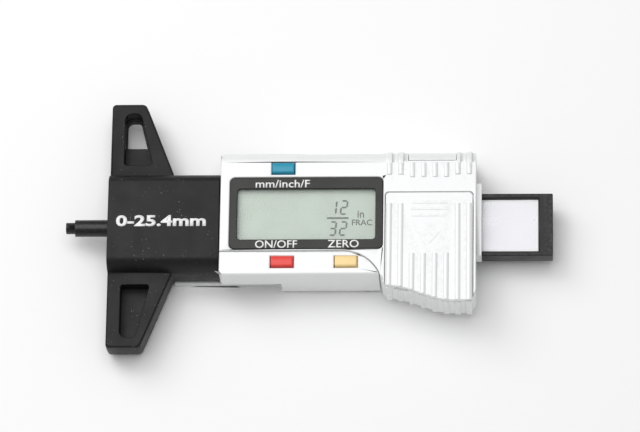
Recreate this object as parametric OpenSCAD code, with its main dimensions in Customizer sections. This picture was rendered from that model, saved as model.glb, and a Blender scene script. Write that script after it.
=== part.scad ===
// Digital tyre tread depth gauge that reads 0 to 25.4 mm.
// It lies on its back with the display up. The origin is the centre of the probe on the
// measuring face. X runs along the beam to its tail, Y across the foot to the side with the
// unit button, and Z out of the display. Lengths are in millimetres.

/* [Measuring foot] */
// Length of the measuring face from wing tip to wing tip
foot_span = 57; // [50:0.5:64]
// Depth of a wing along the beam at its tip
wing_tip = 7.4; // [6.5:0.1:9]
// Depth of a wing along the beam at its root
wing_root = 14.1; // [12:0.1:17]
// Height of the wings above the probe axis
wing_top = 2.3; // [1.6:0.1:3.5]
// Length of the sleeve behind the measuring face
sleeve_len = 24.4; // [23:0.1:28]
// Width of the sleeve
sleeve_w = 23.2; // [21:0.2:26]
// Height of the sleeve above the probe axis
sleeve_top = 6; // [5:0.1:6.1]
// Width of the flat on top of the sleeve
sleeve_flat = 17.2; // [12:0.2:19]
// Depth of the hollows in the wings
hollow_depth = 3.3; // [1:0.1:4]

/* [Housing] */
// Length of the display housing
body_len = 55.8; // [55.6:0.1:60]
// Distance from the probe axis to the housing's key side
body_near = 13.2; // [12.8:0.1:14]
// Distance from the probe axis to the housing's far side
body_far = 15.9; // [15.6:0.1:17]
// Height of the display face above the probe axis
face_z = 6.1; // [6:0.1:7]
// Wall thickness of the mouldings
wall = 1.2; // [1:0.1:1.3]
// Radius of the rounded edge on the far side
far_round = 3; // [1.5:0.1:3.2]
// How far the thumb bulge stands out beyond the key side
bulge = 5.9; // [5.7:0.1:7]
// Width of one grip rib
rib_w = 1.27; // [0.8:0.01:1.5]
// Height of the grip ribs
rib_h = 0.3; // [0.1:0.05:0.4]
// Number of grip ribs
rib_count = 8; // [4:1:8]

/* [Display] */
// Length of the dark frame round the display
frame_l = 33.6; // [32:0.1:34]
// Width of the dark frame round the display
frame_w = 16.8; // [15:0.1:17]
// Length of the clear window
window_l = 30.1; // [26:0.1:30.5]
// Width of the clear window
window_w = 11.8; // [9:0.1:12]

/* [Buttons] */
// Length of a button cap along the housing
cap_l = 4.8; // [4:0.1:4.9]
// Width of a button cap
cap_w = 2.35; // [2:0.05:2.4]
// How far the caps stand out of the housing
cap_proud = 0.7; // [0.5:0.05:1]

/* [Beam and probe] */
// Width of the beam
beam_w = 14.5; // [13.5:0.1:14.6]
// Length of the beam
beam_len = 78.6; // [76:0.1:90]
// Diameter of the probe rod
probe_d = 3.7; // [3:0.1:3.9]
// Depth shown, which is how far the probe stands out of the foot
reading = 9.525; // [4:0.025:25.4]
// Deepest tread that the gauge can read
full_depth = 25.4; // [25:0.1:25.4]

/* [Hidden] */
$fn = 48;

// Small distances that repeat
cut = 1;                 // how far a cutter runs past a face
gap = 0.15;              // moulding gap between fixed parts
slide_gap = 0.2;         // room round the sliding beam
arc_steps = 8;           // straight steps in one rounded corner

// Levels of the stack, from the back up
back_z = -6;             // surface the gauge rests on
plate_z = -4.3;          // inside of the back shell, underside of the foot
skirt_z = -4.5;          // lower edge of the housing's side walls
step_z = -0.1;           // lower edge of the walls over the foot's tail
beam_z0 = -2.9;          // underside of the beam
beam_z1 = 1.4;           // top of the beam's two rims
channel_z0 = beam_z0 - 0.15;
recess_z = -0.2;         // floor of the beam's recess
strip_z1 = 0.3;          // top of the scale strip
label_z1 = 0.5;          // top of the label
pickup_z0 = 0.75;        // underside of the pick-up board
board_z0 = 1.6;          // underside of the main board
board_z1 = 2.4;          // top of the main board
lcd_z0 = 3.2;
lcd_z1 = 4.4;
lens_z0 = 4.9;           // seat of the lens
lens_z1 = 5.3;
frame_z1 = face_z - 0.05;
roof_z = face_z - wall;  // underside of the housing's roof
bulge_z = -2.8;          // underside of the thumb bulge

// Places along the beam
front_wall = 2.5;        // thickness of the foot behind the measuring face
beam_x0 = front_wall + 0.125 + full_depth - reading;
beam_x1 = beam_x0 + beam_len;
tail_x = sleeve_len + 13.2;       // end of the foot's tail inside the housing
tail_half = 11.5;                 // half the tail's width
body_x0 = sleeve_len + 0.2;
body_x1 = body_x0 + body_len;
step_x = tail_x + 0.2;            // the walls get taller behind the foot's tail
plate_x0 = 14.2;                  // front end of the back shell, under the sleeve
collar_x1 = body_x1 + 1.2;

// Thumb bulge on the key side
bulge_y = body_near + bulge;
bulge_x0 = body_x0 + 36.7;        // where it starts to swell
bulge_x1 = body_x1 - 5;           // where it is at its widest

// Window
window_x = body_x0 + 18.85;        // centre of the frame
window_y = 1.1;
lcd_y = 0.9;                      // centre of the clear window

// Key strip: a straight seam that ends in an arc round the last key
seam_y = -7.66;
seam_r = 8.78;
seam_x = body_x0 + 26.9;

// Keys: x and y of the centres
unit_at = [body_x0 + 13.7, 11.5];
power_at = [body_x0 + 13.7, -10.25];
zero_at = [body_x0 + 27.6, -10.25];
well_l = cap_l + 0.4;
well_w = cap_w + 0.35;
flange = 0.5;                     // how far a cap's flange reaches under the roof
flange_z0 = roof_z - 0.6;
cap_gap = 0.05;                   // between a flange and the roof
dome_top = flange_z0 - 0.02;

// Battery door
door_x0 = body_x0 + 36.2;
door_x1 = body_x1 - 0.75;
door_y1 = 5.75;
door_gap = 0.25;
door_z0 = roof_z;
seat_z = door_z0 - 0.15;          // seat under the door
rib_pitch = (door_x1 - door_x0 - 1.44) / (rib_count - 1);
rib_x0 = door_x0 + 0.72;          // centre of the first rib
rail_x = door_x0 + 3.3;           // centre of the door's dovetail
rail_top = 1.6;
rail_foot = 2.6;
rail_h = 0.9;

// Button cell, 11.6 mm across and 3.05 mm thick
cell_d = 11.6;
cell_at = [body_x1 - 7.4, -12];
cell_z0 = 1.6;
cell_z1 = 4.65;
pocket_d = 12;
contact_x0 = door_x0 + 3.1;       // where the cell's contacts meet the board

// Data port
port_x0 = body_x0 + 41.1;
port_l = 10.4;
port_y0 = 13.35;                  // seam of the port cover on the display face
port_z0 = 1;

// Beam: its recess for the scale, the slot round the stop peg, and the probe's fixing
recess_x0 = beam_x0 + 6;
recess_x1 = beam_x1 - 3.1;
recess_half = beam_w / 2 - 1.08;
peg_x0 = tail_x + 3.05;
peg_x1 = tail_x + 5;
peg_half = 1.5;
slot_x0 = peg_x0 - reading - 0.15;
slot_x1 = peg_x1 + full_depth - reading + 0.1;
shank_d = 1.9;
shank_l = 5;
pin_x = beam_x0 + 3;
pin_hole = 1.04;

// Screws
thread_d = 1.6;
head_d = 3;
head_h = 0.8;
screw_l = 7;
tap_d = thread_d + 0.04;          // hole that the thread bites in
pass_d = thread_d + 0.3;          // hole that the thread passes through
boss_d = thread_d + 0.9;
back_screw_at = [[sleeve_len + 4.5, -9.8], [sleeve_len + 4.5, 9.8], [seam_x + 5.05, -11.3],
                 [seam_x + 6.1, 10.8], [body_x1 - 2, 10.8], [door_x0 + 2, -10.6]];
foot_screw_at = [[18, -9.6], [18, 9.6]];
board_screw_at = [[body_x0 + 7.2, 11], [body_x0 + 24, 11], [body_x0 + 20.7, -10]];

// ---- helpers ----

// Box between two corners
module slab(x, y, z) translate([x[0], y[0], z[0]]) cube([x[1] - x[0], y[1] - y[0], z[1] - z[0]]);

// Disc or hole along Z
module disc(at, d, z) translate([at[0], at[1], z[0]]) cylinder(d = d, h = z[1] - z[0]);

// Profile in Y and Z, drawn out along X
module along_x(x) translate([x[0], 0, 0]) rotate([90, 0, 90]) linear_extrude(x[1] - x[0]) children();

function unit(v) = v / norm(v);

// Points of the arc of radius r that rounds corner b between a and c
function corner(a, b, c, r) =
  let (u = unit(a - b), v = unit(c - b), half = acos(u * v) / 2,
       centre = b + unit(u + v) * r / sin(half),
       p = b + u * r / tan(half) - centre,
       q = b + v * r / tan(half) - centre,
       a0 = atan2(p.y, p.x), turn = atan2(q.y, q.x) - a0,
       sweep = turn > 180 ? turn - 360 : (turn < -180 ? turn + 360 : turn))
  [for (i = [0:arc_steps]) centre + r * [cos(a0 + sweep * i / arc_steps), sin(a0 + sweep * i / arc_steps)]];

// Outline from corners given as [x, y, radius]
function rounded(pts) =
  [for (i = [0:len(pts) - 1])
    let (a = pts[(i + len(pts) - 1) % len(pts)], b = pts[i], c = pts[(i + 1) % len(pts)])
    each b[2] > 0 ? corner([a.x, a.y], [b.x, b.y], [c.x, c.y], b[2]) : [[b.x, b.y]]];

module rounded_box(x, y, z, r) translate([0, 0, z[0]]) linear_extrude(z[1] - z[0])
  polygon(rounded([[x[0], y[0], r], [x[1], y[0], r], [x[1], y[1], r], [x[0], y[1], r]]));

// ---- measuring foot ----

// Outline of the wing on the +Y side, drawn in by the given inset
function wing_outline(inset) =
  rounded([[inset, 0, 0], [inset, foot_span / 2 - inset, 0.9],
           [wing_tip - inset, foot_span / 2 - inset, 1.2],
           [wing_tip + 0.9 - inset, foot_span / 2 - 2, 1.5],
           [wing_root - inset, sleeve_w / 2, 0], [wing_root - inset, 0, 0]]);

module wing() {
  bevel = 0.3;
  hull() {
    translate([0, 0, plate_z]) linear_extrude(wing_top - bevel - plate_z) polygon(wing_outline(0));
    translate([0, 0, wing_top - 0.1]) linear_extrude(0.1) polygon(wing_outline(bevel));
  }
}

// Outline of the hollow in a wing
function hollow_outline(inset) =
  let (x0 = 3 + inset, x1 = wing_root - 4.8 - inset, y0 = sleeve_w / 2 + 2.4 + inset,
       y1 = foot_span / 2 - 2.3 - inset, tip = x1 - 2.9)
  rounded([[x0, y0, 0.6], [x1, y0, 0.6], [tip, y1, 1.5], [x0, y1, 1.5]]);

module wing_hollows() {
  web = 1;
  web_top = wing_top - hollow_depth;
  translate([0, 0, web_top]) linear_extrude(hollow_depth + cut) polygon(hollow_outline(0));
  translate([0, 0, plate_z - cut]) linear_extrude(web_top - web - plate_z + cut)
    polygon(hollow_outline(0));
}

// Hole that the gauge hangs from, in the outer half of one wing
module hang_hole() {
  translate([0, 0, plate_z - cut]) linear_extrude(wing_top - plate_z + 2 * cut) intersection() {
    polygon(hollow_outline(0.35));
    translate([0, sleeve_w / 2 + 7.6]) square([wing_root, foot_span]);
  }
}

// Half-round shoulders fall from the flat to the side walls
function sleeve_outline() =
  let (half = sleeve_w / 2, flat = sleeve_flat / 2, z0 = 0.1, steps = 10)
  concat([[-half, plate_z]],
         [for (i = [0:steps]) let (a = 90 * i / steps)
           [-flat - (half - flat) * cos(a), z0 + (sleeve_top - z0) * sin(a)]],
         [for (i = [0:steps]) let (a = 90 - 90 * i / steps)
           [flat + (half - flat) * cos(a), z0 + (sleeve_top - z0) * sin(a)]],
         [[half, plate_z]]);

module beam_channel(x, top) {
  half = beam_w / 2 + slide_gap;
  slab(x, [-half, half], [channel_z0, top]);
}

module foot() color("#343434") difference() {
  union() {
    wing();
    mirror([0, 1, 0]) wing();
    along_x([0, sleeve_len]) polygon(sleeve_outline());
    slab([sleeve_len - cut, tail_x], [-tail_half, tail_half], [plate_z, step_z - gap]);
  }
  wing_hollows();
  mirror([0, 1, 0]) wing_hollows();
  hang_hole();
  beam_channel([front_wall, sleeve_len + cut], probe_d / 2 + 0.4);
  beam_channel([front_wall, tail_x + cut], step_z + cut);
  translate([-cut, 0, 0]) rotate([0, 90, 0]) cylinder(d = probe_d + 0.16, h = front_wall + 2 * cut);
  for (at = foot_screw_at) disc(at, tap_d, [plate_z - cut, 1.2]);
  for (at = [back_screw_at[0], back_screw_at[1]]) disc(at, thread_d + 0.4, [plate_z - cut, cut]);
}

// ---- housing ----

// Near edge of the thumb bulge, which swells in a smooth wave
function bulge_edge(x) =
  let (t = (x - bulge_x0) / (bulge_x1 - bulge_x0), rise = bulge - 2.5)
  -body_near - 2.5 - rise * (1 - cos(180 * t)) / 2;

// Outline of the housing in plan
function body_outline() =
  concat(rounded([[body_x0, -body_near, 0.8], [body_x0, body_far, 1.6], [body_x0 + 17.3, body_far, 1],
                  [body_x0 + 19, body_far - 0.6, 1], [body_x0 + 34.4, body_far - 0.6, 1],
                  [body_x0 + 36.1, body_far, 1], [body_x1, body_far, 1],
                  [body_x1, -bulge_y, 2.6], [bulge_x1, -bulge_y, 0]]),
         [for (i = [11:-1:0]) let (x = bulge_x0 + (bulge_x1 - bulge_x0) * i / 12) [x, bulge_edge(x)]],
         [for (a = [10, 16, 21.6]) [seam_x + seam_r * cos(a), seam_y - seam_r + seam_r * sin(a)]]);

// Cross-section of the housing: square on the key side, rounded on the far side
module body_section(inset, z0) {
  r = far_round - inset;
  top = face_z - inset;
  far = body_far - inset;
  translate([-bulge_y, z0]) square([bulge_y + far - r, top - z0]);
  translate([-bulge_y, z0]) square([bulge_y + far, top - r - z0]);
  translate([far - r, top - r]) circle(r = r);
}

module outer_shape() intersection() {
  translate([0, 0, skirt_z]) linear_extrude(face_z - skirt_z) polygon(body_outline());
  along_x([body_x0, body_x1]) body_section(0, skirt_z);
}

// The region that the key strip fills
module key_zone(inset) {
  y1 = seam_y - inset;
  slab([body_x0 - cut, seam_x], [-body_near - cut, y1], [skirt_z - cut, face_z + cut]);
  intersection() {
    disc([seam_x, seam_y - seam_r], 2 * (seam_r - inset), [skirt_z - cut, face_z + cut]);
    slab([seam_x - cut, seam_x + seam_r], [-body_near - cut, y1], [skirt_z - cut, face_z + cut]);
  }
}

module well(at) slab([at.x - well_l / 2, at.x + well_l / 2], [at.y - well_w / 2, at.y + well_w / 2],
                     [roof_z - cut, face_z + cut]);

// Plan of the door, or of the opening that it fills
module door_plan(inset) {
  r = 0.8;
  translate([door_x0 - inset, -2 * bulge_y]) square([door_x1 - door_x0 + 2 * inset,
                                                     2 * bulge_y + door_y1 + inset - r]);
  translate([door_x0 - inset + r, 0]) square([door_x1 - door_x0 + 2 * inset - 2 * r, door_y1 + inset]);
  for (x = [door_x0 - inset + r, door_x1 + inset - r]) translate([x, door_y1 + inset - r]) circle(r = r);
}

// Dovetail under the door, or its slot when grown by the given amount
module rail(grow, y) {
  top = rail_top / 2 + grow;
  foot = rail_foot / 2 + grow;
  translate([rail_x, y[1], door_z0]) rotate([90, 0, 0]) linear_extrude(y[1] - y[0])
    polygon([[-top, 0.1], [top, 0.1], [top, -0.2],
             [foot, -rail_h - grow], [-foot, -rail_h - grow], [-top, -0.2]]);
}

// Low round-topped rib that runs over the display face
module face_rib(x, y) {
  r = (rib_w * rib_w / 4 + rib_h * rib_h) / (2 * rib_h);
  intersection() {
    translate([x, y[1], face_z + rib_h - r]) rotate([90, 0, 0]) cylinder(r = r, h = y[1] - y[0]);
    slab([x - rib_w, x + rib_w], y, [face_z - 0.4, face_z + cut]);
  }
}

function rib_x(i) = rib_x0 + rib_pitch * i;

// The two ribs at each end are longer than those between them
function outer_rib(i) = i < 2 || i > rib_count - 3;

// Ribs that wrap over the rounded far edge, stopped where the port cover lies
module far_ribs() for (i = [0:rib_count - 1]) {
  x = rib_x(i);
  half = rib_w / 2 - 0.06;
  bend_y = body_far - far_round;
  on_cover = x > port_x0 && x < port_x0 + port_l;
  face_rib(x, [outer_rib(i) ? 10 : 9.4, bend_y - 0.15]);
  if (!on_cover) along_x([x - half, x + half]) intersection() {
    body_section(-0.85 * rib_h, 0);
    translate([bend_y - 0.4, 0]) square([far_round + cut, face_z + cut]);
  }
}

// Ribs that run on down the bulge's side wall
module bulge_ribs() for (i = [0:rib_count - 1]) {
  x = rib_x(i);
  slab([x - rib_w / 2, x + rib_w / 2], [bulge_edge(min(x, bulge_x1)) - 0.25, -bulge_y + 4],
       [bulge_z, seat_z]);
}

module screw_boss(at, z) disc(at, boss_d, z);

module front_shell() color("#e9eaec") difference() {
  union() {
    difference() {
      outer_shape();
      // hollow inside
      along_x([body_x0 + wall, body_x1 - wall]) intersection() {
        body_section(wall, skirt_z - cut);
        translate([-body_near + wall, skirt_z - cut])
          square([body_near + body_far, face_z - skirt_z + 2 * cut]);
      }
      key_zone(0);
      // clear of the foot's tail
      slab([body_x0 - cut, step_x], [-bulge_y, body_far + cut], [skirt_z - cut, step_z]);
    }
    // ledge round the window
    rounded_box([window_x - frame_l / 2 - 1.1, window_x + frame_l / 2 + 1.1],
                [seam_y + 0.1, window_y + frame_w / 2 + 0.2], [lcd_z1 + 0.05, roof_z + 0.1], 1);
    // seat under the door, and the solid thumb bulge
    intersection() {
      outer_shape();
      union() {
        slab([door_x0 - 1.5, body_x1], [-beam_w / 2 - 1.6, door_y1 + 1.5], [roof_z - 1.4, roof_z + 0.1]);
        slab([door_x0 - 0.4, body_x1], [-bulge_y, -beam_w / 2 - 1.2], [bulge_z, roof_z + 0.1]);
      }
    }
    bulge_ribs();
    far_ribs();
    // collar round the beam
    slab([body_x1 - 0.2, collar_x1], [-8.2, 8.6], [-0.3, 4]);
    // bosses for the screws
    for (i = [1, 3, 4]) screw_boss(back_screw_at[i], [i == 1 ? step_z : plate_z + gap, roof_z + 0.1]);
    for (i = [0, 1]) screw_boss(board_screw_at[i], [board_z1 + 0.01, roof_z + 0.1]);
  }
  // underside of the bulge
  slab([seam_x, body_x1 + cut], [-2 * bulge_y, -body_near], [skirt_z - cut, bulge_z]);
  // opening for the door
  intersection() {
    translate([0, 0, seat_z]) linear_extrude(wall + cut) door_plan(door_gap);
    slab([door_x0 - cut, body_x1 + cut], [-2 * bulge_y, door_y1 + cut], [seat_z, face_z + cut]);
  }
  rail(0.15, [-2 * bulge_y, door_y1 - 0.5]);
  // pocket for the cell
  disc(cell_at, pocket_d, [cell_z0 - 0.15, face_z]);
  slab([contact_x0 - 0.05, cell_at.x], [cell_at.y - 2, cell_at.y + 4], [cell_z0 - 0.15, board_z1 + 0.4]);
  slab([cell_at.x - cell_d / 2 - 0.6, cell_at.x], [cell_at.y - 1.2, cell_at.y + 3.7],
       [cell_z0 - 0.15, lcd_z1]);
  // window
  rounded_box([window_x - frame_l / 2, window_x + frame_l / 2],
              [window_y - frame_w / 2, window_y + frame_w / 2], [lens_z0, face_z + cut], 1.2);
  rounded_box([window_x - window_l / 2 - 0.5, window_x + window_l / 2 + 0.5],
              [lcd_y - window_w / 2 - 0.5, lcd_y + window_w / 2 + 0.5], [lcd_z0, face_z], 0.8);
  well(unit_at);
  // port
  slab([port_x0 - 0.1, port_x0 + port_l + 0.1], [port_y0 - 0.1, body_far + 2 * cut],
       [port_z0 - 0.1, face_z + cut]);
  slab([port_x0 + 1.4, port_x0 + port_l - 1.4], [port_y0 - 2, port_y0 + cut], [board_z1, 4.4]);
  // way through for the beam and the probe
  beam_channel([body_x0 - cut, collar_x1 + cut], probe_d / 2 + 0.4);
  for (i = [1, 3, 4, 5]) disc(back_screw_at[i], tap_d, [skirt_z, 1.2]);
  for (i = [0, 1]) disc(board_screw_at[i], tap_d, [board_z1 - cut, 4.6]);
}

module key_strip() color("#e9eaec") difference() {
  union() {
    difference() {
      intersection() {
        outer_shape();
        key_zone(gap);
      }
      slab([body_x0 - cut, body_x1], [-body_near + wall, 0], [skirt_z - cut, roof_z]);
      slab([body_x0 - cut, step_x], [-bulge_y, 0], [skirt_z - cut, step_z]);
    }
    for (i = [0, 2]) screw_boss(back_screw_at[i], [i == 0 ? step_z : plate_z + gap, roof_z + 0.1]);
    screw_boss(board_screw_at[2], [board_z1, roof_z + 0.1]);
  }
  disc(board_screw_at[2], tap_d, [board_z1 - cut, 4.6]);
  well(power_at);
  well(zero_at);
  for (i = [0, 2]) disc(back_screw_at[i], tap_d, [skirt_z, 1.2]);
}

// Rail that carries the beam's edge and keeps it in line
module guide_rail() {
  half = beam_w / 2 + slide_gap;
  along_x([tail_x + 0.2, body_x1 - wall - gap])
    polygon([[half - 2, plate_z - 0.2], [half + 1, plate_z - 0.2],
             [half + 1, 0.6], [half, 0.6], [half, channel_z0], [half - 2, channel_z0]]);
}

// Peg in the beam's slot, which stops the beam at both ends of its travel
module stop_peg() slab([peg_x0, peg_x1], [-peg_half, peg_half], [plate_z - 0.2, -1.8]);

module back_shell() color("#dcdde0") union() {
  stop_peg();
  back_plate();
}

module back_plate() difference() {
  union() {
    translate([0, 0, back_z]) linear_extrude(plate_z - back_z) difference() {
      union() {
        translate([plate_x0, -tail_half]) square([step_x - plate_x0, 2 * tail_half]);
        translate([step_x - cut, -body_near + wall + gap])
          square([body_x1 - wall - gap - step_x + cut, body_near + body_far - 2 * wall - 2 * gap]);
      }
      for (at = concat(back_screw_at, foot_screw_at)) translate(at) circle(d = pass_d);
    }
    guide_rail();
    mirror([0, 1, 0]) guide_rail();
  }
  // relief under the beam, either side of the peg
  for (x = [[tail_x + 1.2, peg_x0 - 0.05], [peg_x1, body_x1 - wall - 1.5]])
    slab(x, [-4.6, 4.6], [plate_z - 0.3, cut]);
  // room for the pressure spring in the far rail
  slab([tail_x + 2, tail_x + 19], [beam_w / 2 + 0.15, beam_w / 2 + 1], [-2.4, cut]);
  // recesses for the screw heads
  for (at = concat(back_screw_at, foot_screw_at))
    disc(at, head_d + 0.3, [back_z - cut, back_z + head_h + 0.1]);
}

// ---- display ----

module window_frame() color("#2e2f2c") difference() {
  c = 0.1;
  rounded_box([window_x - frame_l / 2 + c, window_x + frame_l / 2 - c],
              [window_y - frame_w / 2 + c, window_y + frame_w / 2 - c], [lens_z1, frame_z1], 1.1);
  rounded_box([window_x - window_l / 2, window_x + window_l / 2],
              [lcd_y - window_w / 2, lcd_y + window_w / 2], [lens_z1 - cut, face_z + cut], 0.7);
}

module window_lens() color("#dfe8e4", 0.4)
  rounded_box([window_x - frame_l / 2 + 0.1, window_x + frame_l / 2 - 0.1],
              [window_y - frame_w / 2 + 0.1, window_y + frame_w / 2 - 0.1], [lens_z0, lens_z1], 1.1);

module lcd_panel() color("#b4c4b4")
  slab([window_x - window_l / 2 - 0.4, window_x + window_l / 2 + 0.4],
       [lcd_y - window_w / 2 - 0.4, lcd_y + window_w / 2 + 0.4], [lcd_z0, lcd_z1]);

module zebra_strips() color("#55504a") for (y = [lcd_y - window_w / 2 + 0.4, lcd_y + window_w / 2 - 0.4])
  slab([window_x - window_l / 2 + 1, window_x + window_l / 2 - 1], [y - 0.7, y + 0.7], [board_z1, lcd_z0]);

// ---- electronics ----

module main_board() color("#2f6b45") difference() {
  union() {
    slab([body_x0 + 6, body_x1 - 4.2], [-7.9, 12.4], [board_z0, board_z1]);
    slab([power_at.x - 3, seam_x + 3], [-11.8, -7], [board_z0, board_z1]);
  }
  // cut back round the cell, and drilled for the screws
  slab([door_x0 + 4, body_x1], [-9, -5.4], [board_z0 - cut, board_z1 + cut]);
  for (at = board_screw_at) disc(at, pass_d, [board_z0 - cut, board_z1 + cut]);
  for (i = [3, 4]) disc(back_screw_at[i], thread_d + 1.8, [board_z0 - cut, board_z1 + cut]);
}

module pickup_board() color("#3d7a52")
  slab([body_x0 + 10.2, body_x0 + 34], [-5.7, 5.7], [pickup_z0, board_z0]);

// Round potted chip between the display and the port
module board_chip() color("#1d1d1d") {
  at = [door_x0 + 4, 1];
  disc(at, 8, [board_z1, board_z1 + 0.4]);
  disc(at, 6, [board_z1 + 0.3, board_z1 + 0.8]);
}

module key_pads() color("#c9a227") for (at = [unit_at, power_at, zero_at])
  slab([at.x - 1.4, at.x + 1.4], [at.y - 0.85, at.y + 0.85], [board_z1, board_z1 + 0.1]);

// ---- keys ----

// Cap with a crowned top and a flange under the roof
module key_cap(at) {
  crown_r = 3.2;
  top = face_z + cap_proud;
  half_l = cap_l / 2;
  half_w = cap_w / 2;
  intersection() {
    slab([at.x - half_l, at.x + half_l], [at.y - half_w, at.y + half_w], [flange_z0, top]);
    translate([at.x - cap_l, at.y, top - crown_r]) rotate([0, 90, 0]) cylinder(r = crown_r, h = 2 * cap_l);
  }
  slab([at.x - half_l - flange, at.x + half_l + flange],
       [at.y - half_w - flange, at.y + half_w + flange], [flange_z0, roof_z - cap_gap]);
}

// Rubber dome that carries a cap and springs it back
module key_dome(at) translate([at.x, at.y, board_z1 + 0.1]) difference() {
  cylinder(d1 = 2.8, d2 = 1.9, h = dome_top - board_z1 - 0.1);
  translate([0, 0, -cut]) cylinder(d = 1.7, h = cut + 0.9);
}

module unit_button() color("#2b9bb9") key_cap(unit_at);
module power_button() color("#ee504b") key_cap(power_at);
module zero_button() color("#fae1a5") key_cap(zero_at);
module unit_dome() color("#8d8f92") key_dome(unit_at);
module power_dome() color("#8d8f92") key_dome(power_at);
module zero_dome() color("#8d8f92") key_dome(zero_at);

// ---- battery ----

module battery_door() color("#f0f1f3") {
  intersection() {
    translate([0, 0, door_z0]) linear_extrude(wall) intersection() {
      door_plan(0);
      polygon(body_outline());
    }
    slab([door_x0, door_x1], [-bulge_y - cut, door_y1], [door_z0, face_z]);
  }
  // outer ribs run the whole way, the middle ones stop below a plain panel
  for (i = [0:rib_count - 1])
    face_rib(rib_x(i), [bulge_edge(min(rib_x(i), bulge_x1)), outer_rib(i) ? 3.2 : -8.4]);
  rail(0, [bulge_edge(rail_x) + 0.6, door_y1 - 1]);
}

module button_cell() color("#c8cacd") {
  disc(cell_at, cell_d, [cell_z0 + 0.5, cell_z1]);
  disc(cell_at, cell_d - 1.4, [cell_z0, cell_z0 + 0.6]);
}

module cell_contact_minus() color("#c7b26a") {
  z = [board_z0 - 0.15, board_z0];
  slab([contact_x0, cell_at.x + 2], [cell_at.y - 1.5, cell_at.y + 1.5], z);
  slab([contact_x0, contact_x0 + 1], [cell_at.y - 1.5, -beam_w / 2 - 0.05], z);
}

module cell_contact_plus() color("#c7b26a") {
  x = cell_at.x - cell_d / 2 - 0.2;
  z = [board_z1, board_z1 + 0.15];
  slab([x - 0.15, x], [cell_at.y - 1, cell_at.y + 3.5], [board_z1, 4.2]);
  slab([contact_x0, x], [cell_at.y + 2.4, cell_at.y + 3.5], z);
  slab([contact_x0, contact_x0 + 1], [cell_at.y + 2.4, -beam_w / 2], z);
}

// ---- data port ----

module port_cover() color("#e4e5e8") difference() {
  union() {
    along_x([port_x0, port_x0 + port_l]) intersection() {
      body_section(0, port_z0);
      translate([port_y0, port_z0]) square([body_far, face_z]);
    }
    slab([port_x0 + 1.6, port_x0 + port_l - 1.6], [port_y0 - 1.4, port_y0 + 0.2], [board_z1 + 0.25, 4.2]);
  }
  slab([port_x0 + 1.2, port_x0 + port_l - 1.2], [port_y0 + 0.9, port_y0 + 1.5],
       [port_z0 - cut, port_z0 + 1.2]);
}

module port_contacts() color("#d4af37") for (i = [0:3]) {
  x = port_x0 + port_l / 2 + 1.9 * (i - 1.5);
  slab([x - 0.5, x + 0.5], [9.6, 12.2], [board_z1, board_z1 + 0.12]);
}

// ---- metal parts ----

// Bowed bronze leaf that presses on the beam's far edge
module pressure_spring() color("#b98a4b") {
  half = beam_w / 2;
  r = 40;
  mid = tail_x + 10.5;
  translate([0, 0, -2.3]) linear_extrude(2.7) intersection() {
    difference() {
      translate([mid, half + 0.1 + r]) circle(r = r, $fn = 180);
      translate([mid, half + 0.1 + r]) circle(r = r - 0.2, $fn = 180);
    }
    translate([mid - 7, half]) square([14, 2]);
  }
}

module back_screw(at) translate([at.x, at.y, back_z + 0.05]) difference() {
  union() {
    cylinder(d = head_d, h = head_h);
    cylinder(d = thread_d, h = screw_l);
  }
  for (turn = [0, 90]) rotate([0, 0, turn]) translate([-0.9, -0.18, -cut]) cube([1.8, 0.36, cut + 0.45]);
}

module back_screws() color("#9fa2a6") for (at = back_screw_at) back_screw(at);
module foot_screws() color("#9fa2a6") for (at = foot_screw_at) back_screw(at);

module board_screws() color("#9fa2a6") for (at = board_screw_at)
  translate([at.x, at.y, board_z0 - 0.5]) difference() {
    union() {
      cylinder(d = 2.6, h = 0.5);
      cylinder(d = thread_d, h = 2.8);
    }
    translate([-0.9, -0.18, -cut]) cube([1.8, 0.36, cut + 0.3]);
  }

// ---- beam and probe ----

module beam() color("#3a3a3b") difference() {
  half = beam_w / 2;
  along_x([beam_x0, beam_x1]) polygon([[-half + 0.25, beam_z0], [-half, -0.8], [-half, beam_z1],
                                       [half, beam_z1], [half, -0.8], [half - 0.25, beam_z0]]);
  slab([recess_x0, recess_x1], [-recess_half, recess_half], [recess_z, beam_z1 + cut]);
  slab([slot_x0, slot_x1], [-peg_half - slide_gap, peg_half + slide_gap], [beam_z0 - cut, -1.6]);
  translate([beam_x0 - cut, 0, 0]) rotate([0, 90, 0]) cylinder(d = shank_d + 0.04, h = shank_l + cut + 0.1);
  disc([pin_x, 0], pin_hole, [beam_z0 - cut, beam_z1 + cut]);
}

module scale_strip() color("#9a8f5a")
  slab([recess_x0 + 0.2, recess_x1 - 0.1], [-recess_half + 0.1, recess_half - 0.1], [recess_z, strip_z1]);

module beam_label() color("#e0e0e3")
  slab([recess_x0 + 0.2, recess_x1 - 0.1], [-recess_half + 0.1, recess_half - 0.1], [strip_z1, label_z1]);

// Rod with a flatted tip, turned down where it enters the beam
module probe() color("#2b2b2b") rotate([0, 90, 0]) difference() {
  tip_d = 2.5;
  tip_l = 2;
  union() {
    translate([0, 0, -reading + tip_l]) cylinder(d = probe_d, h = beam_x0 + reading - tip_l - 0.02);
    translate([0, 0, -reading]) cylinder(d = tip_d, h = tip_l + 0.1);
    translate([0, 0, beam_x0 - 0.1]) cylinder(d = shank_d, h = shank_l + 0.1);
  }
  translate([-probe_d, 0, pin_x]) rotate([0, 90, 0]) cylinder(d = pin_hole, h = 2 * probe_d);
}

module probe_pin() color("#a9abae") disc([pin_x, 0], 1, [beam_z0 + 0.1, beam_z1 - 0.1]);

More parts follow.
